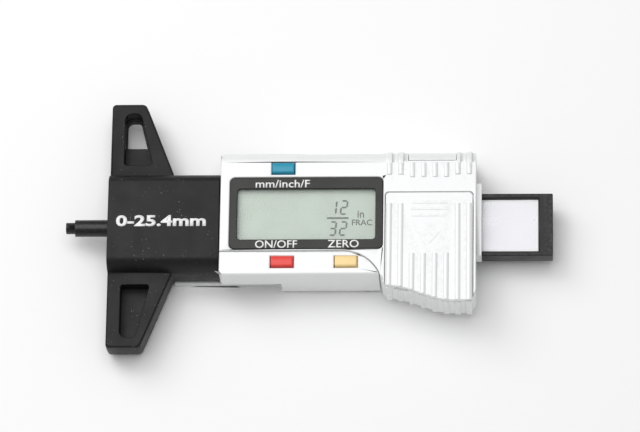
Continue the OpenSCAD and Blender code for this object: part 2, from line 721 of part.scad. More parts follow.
foot();
front_shell();
key_strip();
back_shell();
window_frame();
window_lens();
lcd_panel();
zebra_strips();
main_board();
pickup_board();
board_chip();
key_pads();
unit_button();
power_button();
zero_button();
unit_dome();
power_dome();
zero_dome();
battery_door();
button_cell();
cell_contact_plus();
cell_contact_minus();
port_cover();
port_contacts();
pressure_spring();
back_screws();
foot_screws();
board_screws();
beam();
scale_strip();
beam_label();
probe();
probe_pin();
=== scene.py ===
"""Digital tyre tread depth gauge: the visual model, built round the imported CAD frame."""
import math

import bmesh
import bpy
from bpy.props import FloatProperty, FloatVectorProperty, PointerProperty
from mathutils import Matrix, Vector


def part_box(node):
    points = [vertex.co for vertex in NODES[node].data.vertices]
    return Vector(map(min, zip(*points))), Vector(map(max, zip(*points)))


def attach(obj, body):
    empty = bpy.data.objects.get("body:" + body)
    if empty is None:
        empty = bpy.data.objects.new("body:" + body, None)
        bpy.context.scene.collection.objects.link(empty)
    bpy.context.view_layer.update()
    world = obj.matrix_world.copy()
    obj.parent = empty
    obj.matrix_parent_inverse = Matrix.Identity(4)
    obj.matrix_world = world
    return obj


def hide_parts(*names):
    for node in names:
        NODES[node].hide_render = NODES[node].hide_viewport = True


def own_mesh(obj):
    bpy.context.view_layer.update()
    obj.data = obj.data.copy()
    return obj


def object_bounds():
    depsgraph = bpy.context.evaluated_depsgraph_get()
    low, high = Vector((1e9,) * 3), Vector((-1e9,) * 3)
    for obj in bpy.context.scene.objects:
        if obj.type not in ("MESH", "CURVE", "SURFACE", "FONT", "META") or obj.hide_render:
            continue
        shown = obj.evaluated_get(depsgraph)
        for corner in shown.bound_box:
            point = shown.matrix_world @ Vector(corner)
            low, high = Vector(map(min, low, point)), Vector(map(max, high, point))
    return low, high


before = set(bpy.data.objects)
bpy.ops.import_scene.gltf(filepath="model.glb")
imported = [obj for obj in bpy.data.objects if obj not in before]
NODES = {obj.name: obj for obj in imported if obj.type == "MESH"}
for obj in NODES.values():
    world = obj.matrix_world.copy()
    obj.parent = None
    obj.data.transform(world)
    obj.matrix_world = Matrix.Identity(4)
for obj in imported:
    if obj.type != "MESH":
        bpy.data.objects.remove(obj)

bl_info = {
    "name": "Tread Depth Gauge",
    "version": (1, 0, 0),
    "blender": (4, 5, 0),
    "location": "View3D > Sidebar > Gauge",
    "description": "Builds the looks of a digital tyre tread depth gauge round its CAD frame",
    "category": "Object",
}

MM = 0.001
CAD_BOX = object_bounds()
AIM = Vector((46.134 * MM, 2.699 * MM, 0.0))


def rectangle(x0, y0, x1, y1):
    return [(x0, y0), (x1, y0), (x1, y1), (x0, y1)]


def lo(node):
    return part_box(node)[0]


def hi(node):
    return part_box(node)[1]


# ---- sizes and colours that a user may change ----

def length(label, note, value):
    return FloatProperty(name=label, description=note, default=value * MM, min=0.0,
                         max=10.0 * MM, subtype="DISTANCE", unit="LENGTH", precision=5)


def colour(label, note, value):
    return FloatVectorProperty(name=label, description=note, default=value, size=3,
                               min=0.0, max=1.0, subtype="COLOR")


def angle(label, note, degrees):
    return FloatProperty(name=label, description=note, default=math.radians(degrees),
                         subtype="ANGLE", unit="ROTATION")


class GaugeSizes(bpy.types.PropertyGroup):
    housing_edge: length("Housing edges", "Rounding of the housing's edges", 0.28)
    near_edge: length("Key side edge", "Rounding of the housing's top edge beside the keys", 0.6)
    foot_edge: length("Foot edges", "Rounding of the foot's edges", 0.22)
    key_edge: length("Key edges", "Rounding of the key caps", 0.3)
    door_edge: length("Door edges", "Rounding of the battery door and its ribs", 0.04)
    frame_edge: length("Frame edges", "Rounding of the display frame", 0.18)
    beam_edge: length("Beam edges", "Rounding of the sliding beam", 0.26)
    probe_edge: length("Probe edges", "Rounding of the probe rod and its tip", 0.08)
    screw_edge: length("Screw edges", "Rounding of the screw heads", 0.06)
    parting: length("Parting line", "Depth of the foot's parting line below the probe axis", 0.75)
    draft: angle("Draft", "Slope of the foot's side walls below the parting line", 10)
    ink: length("Ink", "Thickness of the printed marks", 0.02)
    digit: length("Digit height", "Height of the digits on the display", 3.5)
    stroke: length("Stroke", "Width of a display segment", 0.42)
    legend: length("Legend size", "Letter size of the key legends", 2.5)


class GaugeColours(bpy.types.PropertyGroup):
    foot: colour("Foot", "Black moulded plastic of the foot and beam", (0.009, 0.009, 0.009))
    housing: colour("Housing", "Silver paint of the housing", (0.86, 0.865, 0.87))
    display_frame: colour("Display frame", "Dark frame round the display", (0.013, 0.013, 0.011))
    display: colour("Display", "Grey-green of the display", (0.50, 0.585, 0.50))
    segment: colour("Segments", "Lit segments of the display", (0.055, 0.07, 0.055))
    ink: colour("Ink", "White print", (0.93, 0.93, 0.93))
    unit_key: colour("Unit key", "Key that changes the unit", (0.008, 0.29, 0.44))
    power_key: colour("Power key", "Key that switches the gauge on and off", (0.83, 0.055, 0.045))
    zero_key: colour("Zero key", "Key that sets zero", (0.96, 0.72, 0.33))
    label: colour("Beam label", "Grey label in the beam's recess", (0.70, 0.70, 0.73))
    dust: colour("Dust", "Light dust on dark plastic", (0.45, 0.44, 0.42))


class GaugeStage(bpy.types.PropertyGroup):
    lens: FloatProperty(name="Lens", description="Focal length", default=281.25,
                        subtype="DISTANCE_CAMERA", unit="CAMERA")
    distance: FloatProperty(name="Distance", description="From the camera to the gauge",
                            default=1.0951, subtype="DISTANCE", unit="LENGTH")
    turn: angle("Turn", "How far the camera goes round towards the beam's tail", 8.101)
    height: angle("Height", "How far the camera is above the floor", 68.663)
    roll: angle("Roll", "Roll of the camera", -7.804)
    key_power: FloatProperty(name="Key light", description="Power of the light from behind and the left",
                             default=1.3, min=0.0, unit="POWER")
    top_power: FloatProperty(name="Top light", description="Power of the large soft light overhead",
                             default=4.5, min=0.0, unit="POWER")
    surround: FloatProperty(name="Surround", description="Brightness of the white room",
                            default=0.38, min=0.0)
    floor: colour("Floor", "Pale floor", (0.96, 0.96, 0.96))


# ---- shader groups ----

def group_shell(name, inputs, outputs):
    """An empty shader group with float inputs and outputs, given as (name, default) and names."""
    tree = bpy.data.node_groups.new(name, "ShaderNodeTree")
    for label, value in inputs:
        socket = tree.interface.new_socket(label, in_out="INPUT", socket_type="NodeSocketFloat")
        socket.default_value = value
    for label in outputs:
        tree.interface.new_socket(label, in_out="OUTPUT", socket_type="NodeSocketFloat")
    return tree, tree.nodes.new("NodeGroupInput"), tree.nodes.new("NodeGroupOutput")


def noise(tree, scale, detail=3.0, source=None):
    """Noise over the piece's own coordinates, in metres. scale is a number or a socket."""
    if source is None:
        source = tree.nodes.new("ShaderNodeTexCoord").outputs["Object"]
    n = tree.nodes.new("ShaderNodeTexNoise")
    n.inputs["Detail"].default_value = detail
    tree.links.new(source, n.inputs["Vector"])
    if isinstance(scale, float):
        n.inputs["Scale"].default_value = scale
    else:
        tree.links.new(scale, n.inputs["Scale"])
    return n.outputs["Fac"]


def ramp(tree, value, low, high, to_low=0.0, to_high=1.0):
    n = tree.nodes.new("ShaderNodeMapRange")
    tree.links.new(value, n.inputs["Value"])
    for label, number in (("From Min", low), ("From Max", high), ("To Min", to_low), ("To Max", to_high)):
        n.inputs[label].default_value = number
    return n.outputs["Result"]


def maths(tree, operation, a, b):
    n = tree.nodes.new("ShaderNodeMath")
    n.operation = operation
    for socket, value in zip(n.inputs, (a, b)):
        if isinstance(value, (int, float)):
            socket.default_value = value
        else:
            tree.links.new(value, socket)
    return n.outputs[0]


def grain_group():
    """Fine moulded grain: a height for bump, and a slow variation for roughness."""
    tree, given, out = group_shell("Moulded grain", [("Scale", 9000.0), ("Depth", 0.5)],
                                   ["Height", "Variation"])
    fine = noise(tree, given.outputs["Scale"], 4.0)
    tree.links.new(maths(tree, "MULTIPLY", fine, given.outputs["Depth"]), out.inputs["Height"])
    tree.links.new(noise(tree, 260.0), out.inputs["Variation"])
    return tree


def wear_group():
    """Rubbed edges, found from how sharply the surface turns and broken up by noise."""
    tree, given, out = group_shell("Edge wear", [("Amount", 0.5)], ["Mask"])
    turning = tree.nodes.new("ShaderNodeNewGeometry").outputs["Pointiness"]
    edge = ramp(tree, turning, 0.53, 0.62)
    patchy = ramp(tree, noise(tree, 1400.0, 5.0), 0.42, 0.62)
    worn = maths(tree, "MULTIPLY", edge, patchy)
    tree.links.new(maths(tree, "MULTIPLY", worn, given.outputs["Amount"]), out.inputs["Mask"])
    return tree


def dust_group():
    """Small specks of dust on surfaces that face up."""
    tree, given, out = group_shell("Dust", [("Amount", 0.3), ("Scale", 1500.0)], ["Mask"])
    split = tree.nodes.new("ShaderNodeSeparateXYZ")
    tree.links.new(tree.nodes.new("ShaderNodeNewGeometry").outputs["Normal"], split.inputs[0])
    up = ramp(tree, split.outputs["Z"], 0.2, 0.9)
    cells = tree.nodes.new("ShaderNodeTexVoronoi")
    tree.links.new(tree.nodes.new("ShaderNodeTexCoord").outputs["Object"], cells.inputs["Vector"])
    tree.links.new(given.outputs["Scale"], cells.inputs["Scale"])
    speck = ramp(tree, cells.outputs["Distance"], 0.16, 0.06)
    some = ramp(tree, noise(tree, 420.0), 0.52, 0.62)
    mask = maths(tree, "MULTIPLY", maths(tree, "MULTIPLY", up, speck), some)
    tree.links.new(maths(tree, "MULTIPLY", mask, given.outputs["Amount"]), out.inputs["Mask"])
    return tree


def flake_group():
    """Metal flakes in silver paint: a brightness that changes from flake to flake."""
    tree, given, out = group_shell("Paint flake", [("Scale", 12000.0), ("Contrast", 0.1)], ["Value"])
    cells = tree.nodes.new("ShaderNodeTexVoronoi")
    tree.links.new(tree.nodes.new("ShaderNodeTexCoord").outputs["Object"], cells.inputs["Vector"])
    tree.links.new(given.outputs["Scale"], cells.inputs["Scale"])
    split = tree.nodes.new("ShaderNodeSeparateColor")
    tree.links.new(cells.outputs["Color"], split.inputs[0])
    swing = maths(tree, "MULTIPLY", maths(tree, "SUBTRACT", split.outputs[0], 0.5),
                  given.outputs["Contrast"])
    tree.links.new(maths(tree, "ADD", swing, 1.0), out.inputs["Value"])
    return tree


GROUP_MAKERS = {"Moulded grain": grain_group, "Edge wear": wear_group, "Dust": dust_group,
                "Paint flake": flake_group}


def place_group(tree, name, **values):
    """One of the shared groups in a material's tree, with the values given."""
    n = tree.nodes.new("ShaderNodeGroup")
    n.node_tree = bpy.data.node_groups.get(name) or GROUP_MAKERS[name]()
    for label, value in values.items():
        n.inputs[label].default_value = value
    return n


def blend_colour(tree, mask, under, over):
    n = tree.nodes.new("ShaderNodeMix")
    n.data_type = "RGBA"
    tree.links.new(mask, n.inputs["Factor"])
    for socket, value in ((n.inputs["A"], under), (n.inputs["B"], over)):
        if isinstance(value, bpy.types.NodeSocket):
            tree.links.new(value, socket)
        else:
            socket.default_value = (*value, 1.0)
    return n.outputs["Result"]


# ---- materials ----

def finish(name, base, rough, metal=0.0, grain=(9000.0, 0.5), bump=0.03, wear=0.0, worn=(0.3, 0.3, 0.3),
           dust=0.0, flake=0.0, rough_swing=0.08, gleam=0.5, shade=0.04):
    """A material with grain, roughness variation and, where asked, wear, dust and flake.

    grain is the grain's scale and depth, bump its relief, shade how far the colour varies, and gleam
    the strength of the reflection.
    """
    if name in bpy.data.materials:
        return bpy.data.materials[name]
    m = bpy.data.materials.new(name)
    m.use_nodes = True
    m.diffuse_color = (*base, 1.0)
    tree = m.node_tree
    shader = tree.nodes["Principled BSDF"]
    shader.inputs["Metallic"].default_value = metal
    shader.inputs["Specular IOR Level"].default_value = gleam
    texture = place_group(tree, "Moulded grain", Scale=grain[0], Depth=grain[1])
    mottle = ramp(tree, texture.outputs["Variation"], 0.3, 0.7)
    surface = blend_colour(tree, mottle, [(1 - shade) * c for c in base],
                           [min(1.0, (1 + shade) * c) for c in base])
    if flake:
        sparkle = place_group(tree, "Paint flake", Contrast=flake)
        scaled = tree.nodes.new("ShaderNodeVectorMath")
        scaled.operation = "SCALE"
        tree.links.new(surface, scaled.inputs[0])
        tree.links.new(sparkle.outputs["Value"], scaled.inputs["Scale"])
        surface = scaled.outputs[0]
    if wear:
        rubbed = place_group(tree, "Edge wear", Amount=wear)
        surface = blend_colour(tree, rubbed.outputs["Mask"], surface, worn)
    if dust:
        specks = place_group(tree, "Dust", Amount=dust)
        surface = blend_colour(tree, specks.outputs["Mask"], surface, look().dust[:])
    tree.links.new(surface, shader.inputs["Base Color"])
    uneven = ramp(tree, texture.outputs["Variation"], 0.25, 0.75, rough - rough_swing, rough + rough_swing)
    tree.links.new(uneven, shader.inputs["Roughness"])
    relief = tree.nodes.new("ShaderNodeBump")
    relief.inputs["Strength"].default_value = bump
    relief.inputs["Distance"].default_value = 0.02 * MM
    tree.links.new(texture.outputs["Height"], relief.inputs["Height"])
    tree.links.new(relief.outputs["Normal"], shader.inputs["Normal"])
    return m


def black_plastic():
    return finish("Black moulded plastic", look().foot[:], 0.46, grain=(5200.0, 1.0), bump=0.35,
                  wear=0.5, worn=(0.06, 0.06, 0.06), dust=0.7, gleam=0.24)


def beam_plastic():
    return finish("Black beam plastic", look().foot[:], 0.34, grain=(7000.0, 0.8), bump=0.15,
                  wear=0.5, worn=(0.06, 0.06, 0.06), dust=0.3, gleam=0.3)


def silver_paint():
    return finish("Silver paint", look().housing[:], 0.4, metal=0.12, grain=(8000.0, 0.7), bump=0.1,
                  wear=0.25, worn=(0.62, 0.62, 0.63), flake=0.07, rough_swing=0.04, shade=0.008)


def back_paint():
    return finish("Silver plastic", [0.93 * c for c in look().housing], 0.48, metal=0.2,
                  grain=(4200.0, 1.0), bump=0.3, wear=0.25, worn=(0.6, 0.6, 0.6), flake=0.05, shade=0.015)


def frame_plastic():
    return finish("Dark frame plastic", look().display_frame[:], 0.3, grain=(6000.0, 0.9), bump=0.2,
                  wear=0.3, worn=(0.06, 0.06, 0.06), dust=0.12, gleam=0.35)


def printed_ink():
    return finish("White ink", look().ink[:], 0.55, grain=(12000.0, 0.6), bump=0.1, rough_swing=0.05)


def segment_ink():
    return finish("Display segments", look().segment[:], 0.5, grain=(9000.0, 0.3), bump=0.02)


def display_film():
    return finish("Display film", look().display[:], 0.38, grain=(15000.0, 0.4), bump=0.03,
                  rough_swing=0.04)


def key_rubber(name, base):
    return finish(name, base, 0.36, grain=(9000.0, 0.6), bump=0.12, wear=0.35,
                  worn=[min(1.0, c + 0.15) for c in base], rough_swing=0.06)


def beam_label_film():
    return finish("Grey label film", look().label[:], 0.32, metal=0.25, grain=(11000.0, 0.5), bump=0.05,
                  flake=0.05)


def probe_black():
    return finish("Black oxide", [0.8 * c for c in look().foot], 0.34, metal=0.2, grain=(6000.0, 0.8),
                  bump=0.2, wear=0.9, worn=(0.16, 0.16, 0.16))


def clear_window():
    m = finish("Clear window", (0.93, 0.96, 0.95), 0.08, grain=(3000.0, 0.3), bump=0.01, rough_swing=0.03)
    m.node_tree.nodes["Principled BSDF"].inputs["Alpha"].default_value = 0.1
    m.surface_render_method = "BLENDED"
    return m


def plain_steel():
    return finish("Bright steel", (0.56, 0.57, 0.58), 0.3, metal=1.0, grain=(7000.0, 0.7), bump=0.1,
                  wear=0.4, worn=(0.8, 0.8, 0.8))


INNER_FINISHES = {
    "main_board": ("Green board", (0.03, 0.14, 0.06), 0.4, 0.0),
    "pickup_board": ("Sensor board", (0.05, 0.19, 0.09), 0.4, 0.0),
    "board_chip": ("Potting compound", (0.012, 0.012, 0.012), 0.25, 0.0),
    "key_pads": ("Gold pads", (0.58, 0.36, 0.03), 0.3, 1.0),
    "port_contacts": ("Gold contacts", (0.62, 0.42, 0.06), 0.28, 1.0),
    "zebra_strips": ("Contact rubber", (0.09, 0.08, 0.075), 0.6, 0.0),
    "button_cell": ("Cell steel", (0.6, 0.61, 0.63), 0.25, 1.0),
    "cell_contact_plus": ("Brass", (0.57, 0.44, 0.15), 0.3, 1.0),
    "cell_contact_minus": ("Brass", (0.57, 0.44, 0.15), 0.3, 1.0),
    "pressure_spring": ("Spring bronze", (0.48, 0.27, 0.09), 0.32, 1.0),
    "board_screws": ("Bright steel", (0.56, 0.57, 0.58), 0.3, 1.0),
    "scale_strip": ("Copper scale", (0.33, 0.27, 0.1), 0.4, 0.6),
    "probe_pin": ("Bright steel", (0.56, 0.57, 0.58), 0.3, 1.0),
}


# ---- meshes ----

def look():
    return bpy.context.scene.gauge_colours


def sizes():
    return bpy.context.scene.gauge_sizes


def object_from(bm, name, material):
    """A new object from a bmesh, which it frees."""
    mesh = bpy.data.meshes.new(name)
    bm.normal_update()
    bm.to_mesh(mesh)
    bm.free()
    if "custom_normal" in mesh.attributes:
        mesh.attributes.remove(mesh.attributes["custom_normal"])
    mesh.materials.clear()
    mesh.materials.append(material)
    piece = bpy.data.objects.new(name, mesh)
    bpy.context.scene.collection.objects.link(piece)
    return piece


def node_bmesh(node, flat=math.radians(0.5)):
    """The node's surface as one joined skin, with its flat faces whole."""
    bm = bmesh.new()
    bm.from_mesh(NODES[node].data)
    bmesh.ops.remove_doubles(bm, verts=bm.verts, dist=0.002 * MM)
    bmesh.ops.dissolve_degenerate(bm, edges=bm.edges, dist=0.002 * MM)
    bmesh.ops.dissolve_limit(bm, angle_limit=flat, verts=bm.verts, edges=bm.edges)
    for face in bm.faces:
        face.smooth = True
    return bm


def weigh_edges(bm, widest, width_at):
    """Bevel weight on each outward edge that turns sharply. width_at gives the rounding at a point."""
    layer = bm.edges.layers.float.new("bevel_weight_edge")
    for edge in bm.edges:
        outward = len(edge.link_faces) == 2 and edge.is_convex
        if outward and edge.calc_face_angle(0.0) > math.radians(33):
            middle = (edge.verts[0].co + edge.verts[1].co) / 2
            edge[layer] = min(1.0, width_at(middle) / widest)


def soften(piece, widest, segments=3):
    """Rounds the weighted edges and evens out the shading of the flat faces."""
    bevel = piece.modifiers.new("Rounded edges", "BEVEL")
    bevel.width = widest
    bevel.segments = segments
    bevel.limit_method = "WEIGHT"
    bevel.use_clamp_overlap = False
    bevel.loop_slide = False
    normals = piece.modifiers.new("Even shading", "WEIGHTED_NORMAL")
    normals.keep_sharp = True
    normals.weight = 60
    return piece


def skin(node, name, body, material, width, widest=None, width_at=None, shape=None, segments=3,
         flat=math.radians(0.5), cut=False):
    """A rounded skin that stands for a CAD node and rides on its body. Faces within flat are joined.

    cut divides the joined faces into triangles once the edges are weighted, for a face full of holes.
    """
    bm = node_bmesh(node, flat)
    if shape:
        shape(bm)
    weigh_edges(bm, widest or width, width_at or (lambda p: width))
    if cut:
        bmesh.ops.triangulate(bm, faces=bm.faces)
    piece = object_from(bm, name, material)
    soften(piece, widest or width, segments)
    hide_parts(node)
    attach(piece, body)
    return piece


def outlines_piece(name, outlines, z, thickness, body, material):
    """Thin plates with the given outlines, lying at height z."""
    bm = bmesh.new()
    for outline in outlines:
        low = [bm.verts.new((x, y, z)) for x, y in outline]
        high = [bm.verts.new((x, y, z + thickness)) for x, y in outline]
        bm.faces.new(list(reversed(low)))
        bm.faces.new(high)
        for i in range(len(outline)):
            j = (i + 1) % len(outline)
            bm.faces.new((low[i], low[j], high[j], high[i]))
    bmesh.ops.recalc_face_normals(bm, faces=bm.faces)
    piece = object_from(bm, name, material)
    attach(piece, body)
    return piece


def lettering(name, words, x, baseline, z, size, weight, body, material):
    """Words from Blender's own font as a thin mesh, fitted between the two ends in x."""
    curve = bpy.data.curves.new(name, "FONT")
    curve.body = words
    curve.size = size
    curve.offset = weight
    curve.resolution_u = 3
    text = bpy.data.objects.new(name + " outline", curve)
    bpy.context.scene.collection.objects.link(text)
    bpy.context.view_layer.update()
    flat = bpy.data.meshes.new_from_object(text.evaluated_get(bpy.context.evaluated_depsgraph_get()))
    bpy.data.objects.remove(text)
    bm = bmesh.new()
    bm.from_mesh(flat)
    bpy.data.meshes.remove(flat)
    bmesh.ops.remove_doubles(bm, verts=bm.verts, dist=0.001 * MM)
    xs = [v.co.x for v in bm.verts]
    stretch = (x[1] - x[0]) / (max(xs) - min(xs))
    left = min(xs)
    for v in bm.verts:
        v.co = Vector((x[0] + (v.co.x - left) * stretch, baseline + v.co.y, z))
    lifted = bmesh.ops.extrude_face_region(bm, geom=list(bm.faces))
    for v in (g for g in lifted["geom"] if isinstance(g, bmesh.types.BMVert)):
        v.co.z += sizes().ink
    bmesh.ops.recalc_face_normals(bm, faces=bm.faces)
    piece = object_from(bm, name, material)
    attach(piece, body)
    return piece


# ---- the pieces ----

class GAUGE_OT_foot(bpy.types.Operator):
    """Foot with wings, whose lower side walls slope in from the moulding's parting line"""
    bl_idname = "gauge.foot"
    bl_label = "Foot"

    def execute(self, context):
        size = sizes()
        front, wing_tip = lo("foot").x, hi("foot").y
        parting = -size.parting
        slope = math.tan(size.draft)
        wing_end = wing_tip - 2.2 * MM
        sleeve_side = 11.6 * MM
        sleeve_end = lo("front_shell").x
        wing_root = 14.1 * MM
        # a wing's back edge, from beside its tip to its root on the sleeve
        edge_start = Vector((8.3 * MM, wing_tip - 2 * MM))
        edge_end = Vector((wing_root, sleeve_side))
        along = (edge_end - edge_start).normalized()
        inward = Vector((-abs(along.y), -abs(along.x)))

        def draft(bm):
            bmesh.ops.bisect_plane(bm, geom=bm.verts[:] + bm.edges[:] + bm.faces[:],
                                   dist=0.001 * MM, plane_co=(0, 0, parting), plane_no=(0, 0, 1))
            for v in bm.verts:
                depth = parting - v.co.z
                if depth < 0.01 * MM:
                    continue
                side = math.copysign(1.0, v.co.y)
                beside = Vector((v.co.x, abs(v.co.y)))
                off_edge = (beside - edge_start).dot(inward)
                if abs(v.co.y) > wing_end:
                    v.co.y -= side * slope * depth
                elif abs(off_edge) < 0.1 * MM and abs(v.co.y) > sleeve_side + 0.05 * MM:
                    v.co.x += inward.x * slope * depth
                    v.co.y += side * inward.y * slope * depth
                elif abs(abs(v.co.y) - sleeve_side) < 0.02 * MM and wing_root < v.co.x <= sleeve_end:
                    v.co.y -= side * slope * depth

        def width_at(p):
            in_bore = p.x > front + 2.4 * MM and abs(p.y) < 7.6 * MM
            return 0.08 * MM if in_bore else size.foot_edge

        skin("foot", "foot_moulding", "housing", black_plastic(), size.foot_edge,
             width_at=width_at, shape=draft, flat=math.radians(2))
        return {"FINISHED"}


class GAUGE_OT_range_mark(bpy.types.Operator):
    """Plain white range mark printed on the flat of the sleeve"""
    bl_idname = "gauge.range_mark"
    bl_label = "Range mark"

    def execute(self, context):
        ends = (1.9 * MM, 21.6 * MM)
        baseline = -1.7 * MM
        letters = 3.4 * MM
        lettering("range_mark", "0-25.4mm", ends, baseline, hi("foot").z, letters, 0.12 * MM,
                  "housing", printed_ink())
        return {"FINISHED"}


class GAUGE_OT_housing(bpy.types.Operator):
    """Painted housing: front shell, key strip and back shell"""
    bl_idname = "gauge.housing"
    bl_label = "Housing"

    def execute(self, context):
        size = sizes()
        near, far = lo("key_strip").y, hi("front_shell").y
        top = hi("key_strip").z
        door_start = lo("battery_door").x
        opening_edge = 0.1 * MM
        rib_edge = 0.05 * MM

        def width_at(p):
            outer_top = abs(p.z - top) < 0.05 * MM and abs(p.y - near) < 0.05 * MM
            by_door = p.x > door_start - 0.6 * MM and p.z > top - 2 * MM
            ribbed = p.x > door_start and (p.y > far - 6 * MM or p.y < near - 1.5 * MM)
            in_window = top - 4 * MM < p.z < top - 0.2 * MM
            if outer_top:
                return size.near_edge
            if by_door:
                return opening_edge
            if ribbed:
                return rib_edge
            return opening_edge if in_window else size.housing_edge

        skin("front_shell", "front_shell_skin", "housing", silver_paint(), size.housing_edge,
             widest=size.near_edge, width_at=width_at, cut=True)
        skin("key_strip", "key_strip_skin", "housing", silver_paint(), size.housing_edge,
             widest=size.near_edge, width_at=width_at, cut=True)
        skin("back_shell", "back_shell_skin", "housing", back_paint(), size.housing_edge)
        return {"FINISHED"}


# which of the seven segments each figure of the reading lights
SEGMENTS = {"1": "bc", "2": "abged", "3": "abgcd"}


def figure_outlines(figure, x, y, width, height, stroke, slant):
    """Outlines of a figure's lit segments, each a bar with pointed ends."""
    half, gap = stroke / 2, 0.05 * MM
    left, right = half, width - half
    bottom, middle, top = half, height / 2, height - half
    runs = {"a": ((left, top), (right, top)), "g": ((left, middle), (right, middle)),
            "d": ((left, bottom), (right, bottom)), "b": ((right, middle), (right, top)),
            "c": ((right, bottom), (right, middle)), "e": ((left, bottom), (left, middle))}
    shapes = []
    for letter in SEGMENTS[figure]:
        a, b = (Vector(p) for p in runs[letter])
        along = (b - a).normalized()
        across = Vector((-along.y, along.x)) * half
        a, b = a + along * gap, b - along * gap
        bar = [a, a + along * half + across, b - along * half + across, b,
               b - along * half - across, a + along * half - across]
        shapes.append([(x + p.x + slant * p.y, y + p.y) for p in bar])
    return shapes


class GAUGE_OT_display(bpy.types.Operator):
    """Display: dark frame, clear window, film, and the reading in lit segments"""
    bl_idname = "gauge.display"
    bl_label = "Display"

    def execute(self, context):
        size = sizes()
        skin("window_frame", "window_frame_skin", "housing", frame_plastic(), size.frame_edge)
        NODES["window_lens"].data.materials.clear()
        NODES["window_lens"].data.materials.append(clear_window())
        skin("lcd_panel", "display_glass", "housing", display_film(), 0.1 * MM)
        top = hi("lcd_panel").z
        # the reading stands right of the middle: a fraction, its unit and a word for fractions
        tall, wide, slant = size.digit, 1.7 * MM, 0.09
        left = hi("lcd_panel").x - 11.0 * MM
        line_y = 0.25 * MM
        above = line_y + 0.95 * MM
        below = line_y - 0.45 * MM - tall
        shapes = []
        for figure, x, y in (("1", 0.35, above), ("2", 2.7, above), ("3", 0.3, below), ("2", 2.55, below)):
            shapes += figure_outlines(figure, left + x * MM, y, wide, tall, size.stroke, slant)
        shapes.append(rectangle(left, line_y, left + 4.7 * MM, line_y + 0.45 * MM))
        outlines_piece("display_segments", shapes, top, size.ink, "housing", segment_ink())
        lettering("unit_word", "in", (left + 6.65 * MM, left + 8.1 * MM), line_y + 0.35 * MM, top,
                  2.5 * MM, 0.035 * MM, "housing", segment_ink())
        lettering("fraction_word", "FRAC", (left + 5.45 * MM, left + 9.9 * MM), line_y - 1.45 * MM, top,
                  1.9 * MM, 0.03 * MM, "housing", segment_ink())
        return {"FINISHED"}


class GAUGE_OT_legends(bpy.types.Operator):
    """White legends beside the keys, printed on the display frame"""
    bl_idname = "gauge.legends"
    bl_label = "Legends"

    def execute(self, context):
        top = hi("window_frame").z
        # name, words, both ends in x and the baseline, in millimetres
        for name, words, ends, baseline in (("unit_legend", "mm/inch/F", (32.3, 44.2), 7.1),
                                            ("power_legend", "ON/OFF", (32.4, 41.6), -7.0),
                                            ("zero_legend", "ZERO", (48.2, 55.0), -6.95)):
            lettering(name, words, [end * MM for end in ends], baseline * MM, top, sizes().legend,
                      0.03 * MM, "housing", printed_ink())
        return {"FINISHED"}


class GAUGE_OT_keys(bpy.types.Operator):
    """Three coloured keys with crowned caps"""
    bl_idname = "gauge.keys"
    bl_label = "Keys"

    def execute(self, context):
        for node, body, base in (("unit_button", "unit_key", look().unit_key),
                                 ("power_button", "power_key", look().power_key),
                                 ("zero_button", "zero_key", look().zero_key)):
            skin(node, node + "_cap", body, key_rubber(node.replace("_", " ") + " rubber", base[:]),
                 sizes().key_edge)
        return {"FINISHED"}


class GAUGE_OT_domes(bpy.types.Operator):
    """Rubber domes under the keys, each given a mesh of its own"""
    bl_idname = "gauge.domes"
    bl_label = "Key domes"

    def execute(self, context):
        rubber = finish("Grey dome rubber", (0.27, 0.28, 0.29), 0.6, bump=0.1)
        for key in ("unit", "power", "zero"):
            node = key + "_dome"
            dome = skin(node, node + "_rubber", "housing", rubber, 0.12 * MM)
            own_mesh(dome)
        return {"FINISHED"}


class GAUGE_OT_door(bpy.types.Operator):
    """Battery door with its grip ribs and a raised arrow that shows which way it slides"""
    bl_idname = "gauge.door"
    bl_label = "Battery door"

    def execute(self, context):
        skin("battery_door", "battery_door_skin", "door", silver_paint(), sizes().door_edge, cut=True)
        middle = (lo("battery_door").x + hi("battery_door").x) / 2
        raised = 0.09 * MM
        bar_reach, bar_width, bar_step = 4 * MM, 0.7 * MM, 1.5 * MM
        shapes = []
        for k in range(3):
            y = 3.2 * MM - k * bar_step
            shapes.append(rectangle(middle - bar_reach, y, middle + bar_reach, y + bar_width))
        tip = -6.2 * MM
        head, shaft = 2.6 * MM, 1.1 * MM
        barb, tail = tip + 3.0 * MM, tip + 4.9 * MM
        right = [(head, barb), (shaft, barb), (shaft, tail)]
        left = [(-x, y) for x, y in reversed(right)]
        shapes.append([(middle + x, y) for x, y in [(0.0, tip), *right, *left]])
        outlines_piece("door_arrow", shapes, hi("key_strip").z, raised, "door", silver_paint())
        return {"FINISHED"}


class GAUGE_OT_port_cover(bpy.types.Operator):
    """Cover of the data port in the rounded far edge"""
    bl_idname = "gauge.port_cover"
    bl_label = "Port cover"

    def execute(self, context):
        skin("port_cover", "port_cover_skin", "port_cap", silver_paint(), 0.18 * MM)
        return {"FINISHED"}


class GAUGE_OT_beam(bpy.types.Operator):
    """Sliding beam with the grey label in its recess"""
    bl_idname = "gauge.beam"
    bl_label = "Beam"

    def execute(self, context):
        skin("beam", "beam_moulding", "beam", beam_plastic(), sizes().beam_edge)
        skin("beam_label", "beam_label_film", "beam", beam_label_film(), 0.05 * MM)
        low, high = lo("beam_label"), hi("beam_label")
        band = 0.35 * MM
        bars = [rectangle(low.x, low.y, high.x, low.y + band),
                rectangle(low.x, high.y - band, high.x, high.y),
                rectangle(high.x - band, low.y + band, high.x, high.y - band),
                rectangle(low.x, low.y + band, low.x + band, high.y - band)]
        outlines_piece("label_border", bars, high.z, sizes().ink, "beam", printed_ink())
        return {"FINISHED"}


